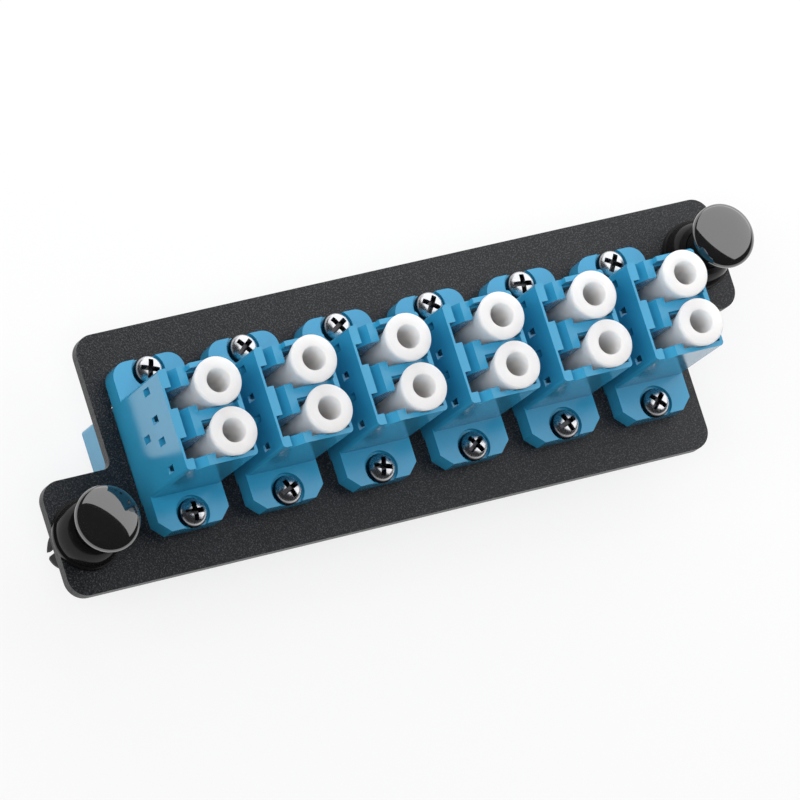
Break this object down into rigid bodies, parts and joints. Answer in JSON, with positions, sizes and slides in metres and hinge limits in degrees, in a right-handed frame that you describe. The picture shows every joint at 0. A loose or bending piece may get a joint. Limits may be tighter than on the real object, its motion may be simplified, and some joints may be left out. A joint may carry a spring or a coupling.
{
  "type": "fibre adapter panel",
  "caption": "Z shaped adapter panel with a row of duplex fibre adapters, pull-off dust caps and push-pull latches in two diagonal ears.",
  "frame": {"origin": "centre of the plate's rear face, midway between the two latch barrels", "axes": "+X along the panel's length, +Y across it, +Z out of the panel's front, where the screws and front caps are"},
  "size_m": [0.098, 0.0308, 0.0296],
  "materials": {
    "powder_coat": "fine textured charcoal powder coat",
    "blue_plastic": "moulded, satin, cyan blue",
    "white_plastic": "soft moulded, slightly translucent",
    "ceramic": "ground zirconia ceramic, smooth and white",
    "plated_steel": "bright zinc plated",
    "black_nylon": "glossy black nylon"
  },
  "bodies": {
    "panel": {"panel_plate": "powder_coat", "front_housing_1": "blue_plastic", "front_housing_2": "blue_plastic", "front_housing_3": "blue_plastic", "front_housing_4": "blue_plastic", "front_housing_5": "blue_plastic", "front_housing_6": "blue_plastic", "rear_housing_1": "blue_plastic", "rear_housing_2": "blue_plastic", "rear_housing_3": "blue_plastic", "rear_housing_4": "blue_plastic", "rear_housing_5": "blue_plastic", "rear_housing_6": "blue_plastic", "alignment_sleeves": "ceramic", "panel_screws": "plated_steel", "panel_nuts": "plated_steel", "latch_grommet_lower_left": "black_nylon", "latch_grommet_upper_right": "black_nylon"},
    "front_cap_upper_1": {"front_cap_upper_1": "white_plastic"},
    "front_cap_lower_1": {"front_cap_lower_1": "white_plastic"},
    "front_cap_upper_2": {"front_cap_upper_2": "white_plastic"},
    "front_cap_lower_2": {"front_cap_lower_2": "white_plastic"},
    "front_cap_upper_3": {"front_cap_upper_3": "white_plastic"},
    "front_cap_lower_3": {"front_cap_lower_3": "white_plastic"},
    "front_cap_upper_4": {"front_cap_upper_4": "white_plastic"},
    "front_cap_lower_4": {"front_cap_lower_4": "white_plastic"},
    "front_cap_upper_5": {"front_cap_upper_5": "white_plastic"},
    "front_cap_lower_5": {"front_cap_lower_5": "white_plastic"},
    "front_cap_upper_6": {"front_cap_upper_6": "white_plastic"},
    "front_cap_lower_6": {"front_cap_lower_6": "white_plastic"},
    "rear_cap_upper_1": {"rear_cap_upper_1": "white_plastic"},
    "rear_cap_lower_1": {"rear_cap_lower_1": "white_plastic"},
    "rear_cap_upper_2": {"rear_cap_upper_2": "white_plastic"},
    "rear_cap_lower_2": {"rear_cap_lower_2": "white_plastic"},
    "rear_cap_upper_3": {"rear_cap_upper_3": "white_plastic"},
    "rear_cap_lower_3": {"rear_cap_lower_3": "white_plastic"},
    "rear_cap_upper_4": {"rear_cap_upper_4": "white_plastic"},
    "rear_cap_lower_4": {"rear_cap_lower_4": "white_plastic"},
    "rear_cap_upper_5": {"rear_cap_upper_5": "white_plastic"},
    "rear_cap_lower_5": {"rear_cap_lower_5": "white_plastic"},
    "rear_cap_upper_6": {"rear_cap_upper_6": "white_plastic"},
    "rear_cap_lower_6": {"rear_cap_lower_6": "white_plastic"},
    "latch_plunger_lower_left": {"latch_plunger_lower_left": "black_nylon"},
    "latch_plunger_upper_right": {"latch_plunger_upper_right": "black_nylon"}
  },
  "joints": [
    {"name": "front_cap_upper_1_slide", "type": "slide", "parent": "panel", "child": "front_cap_upper_1", "axis": [0, 0, 1], "range_m": [0, 0.01]},
    {"name": "front_cap_lower_1_slide", "type": "slide", "parent": "panel", "child": "front_cap_lower_1", "axis": [0, 0, 1], "range_m": [0, 0.01]},
    {"name": "front_cap_upper_2_slide", "type": "slide", "parent": "panel", "child": "front_cap_upper_2", "axis": [0, 0, 1], "range_m": [0, 0.01]},
    {"name": "front_cap_lower_2_slide", "type": "slide", "parent": "panel", "child": "front_cap_lower_2", "axis": [0, 0, 1], "range_m": [0, 0.01]},
    {"name": "front_cap_upper_3_slide", "type": "slide", "parent": "panel", "child": "front_cap_upper_3", "axis": [0, 0, 1], "range_m": [0, 0.01]},
    {"name": "front_cap_lower_3_slide", "type": "slide", "parent": "panel", "child": "front_cap_lower_3", "axis": [0, 0, 1], "range_m": [0, 0.01]},
    {"name": "front_cap_upper_4_slide", "type": "slide", "parent": "panel", "child": "front_cap_upper_4", "axis": [0, 0, 1], "range_m": [0, 0.01]},
    {"name": "front_cap_lower_4_slide", "type": "slide", "parent": "panel", "child": "front_cap_lower_4", "axis": [0, 0, 1], "range_m": [0, 0.01]},
    {"name": "front_cap_upper_5_slide", "type": "slide", "parent": "panel", "child": "front_cap_upper_5", "axis": [0, 0, 1], "range_m": [0, 0.01]},
    {"name": "front_cap_lower_5_slide", "type": "slide", "parent": "panel", "child": "front_cap_lower_5", "axis": [0, 0, 1], "range_m": [0, 0.01]},
    {"name": "front_cap_upper_6_slide", "type": "slide", "parent": "panel", "child": "front_cap_upper_6", "axis": [0, 0, 1], "range_m": [0, 0.01]},
    {"name": "front_cap_lower_6_slide", "type": "slide", "parent": "panel", "child": "front_cap_lower_6", "axis": [0, 0, 1], "range_m": [0, 0.01]},
    {"name": "rear_cap_upper_1_slide", "type": "slide", "parent": "panel", "child": "rear_cap_upper_1", "axis": [0, 0, -1], "range_m": [0, 0.008]},
    {"name": "rear_cap_lower_1_slide", "type": "slide", "parent": "panel", "child": "rear_cap_lower_1", "axis": [0, 0, -1], "range_m": [0, 0.008]},
    {"name": "rear_cap_upper_2_slide", "type": "slide", "parent": "panel", "child": "rear_cap_upper_2", "axis": [0, 0, -1], "range_m": [0, 0.008]},
    {"name": "rear_cap_lower_2_slide", "type": "slide", "parent": "panel", "child": "rear_cap_lower_2", "axis": [0, 0, -1], "range_m": [0, 0.008]},
    {"name": "rear_cap_upper_3_slide", "type": "slide", "parent": "panel", "child": "rear_cap_upper_3", "axis": [0, 0, -1], "range_m": [0, 0.008]},
    {"name": "rear_cap_lower_3_slide", "type": "slide", "parent": "panel", "child": "rear_cap_lower_3", "axis": [0, 0, -1], "range_m": [0, 0.008]},
    {"name": "rear_cap_upper_4_slide", "type": "slide", "parent": "panel", "child": "rear_cap_upper_4", "axis": [0, 0, -1], "range_m": [0, 0.008]},
    {"name": "rear_cap_lower_4_slide", "type": "slide", "parent": "panel", "child": "rear_cap_lower_4", "axis": [0, 0, -1], "range_m": [0, 0.008]},
    {"name": "rear_cap_upper_5_slide", "type": "slide", "parent": "panel", "child": "rear_cap_upper_5", "axis": [0, 0, -1], "range_m": [0, 0.008]},
    {"name": "rear_cap_lower_5_slide", "type": "slide", "parent": "panel", "child": "rear_cap_lower_5", "axis": [0, 0, -1], "range_m": [0, 0.008]},
    {"name": "rear_cap_upper_6_slide", "type": "slide", "parent": "panel", "child": "rear_cap_upper_6", "axis": [0, 0, -1], "range_m": [0, 0.008]},
    {"name": "rear_cap_lower_6_slide", "type": "slide", "parent": "panel", "child": "rear_cap_lower_6", "axis": [0, 0, -1], "range_m": [0, 0.008]},
    {"name": "latch_plunger_lower_left_slide", "type": "slide", "parent": "panel", "child": "latch_plunger_lower_left", "axis": [0, 0, 1], "range_m": [-0.0014, 0.0012]},
    {"name": "latch_plunger_upper_right_slide", "type": "slide", "parent": "panel", "child": "latch_plunger_upper_right", "axis": [0, 0, 1], "range_m": [-0.0026, 0]}
  ]
}
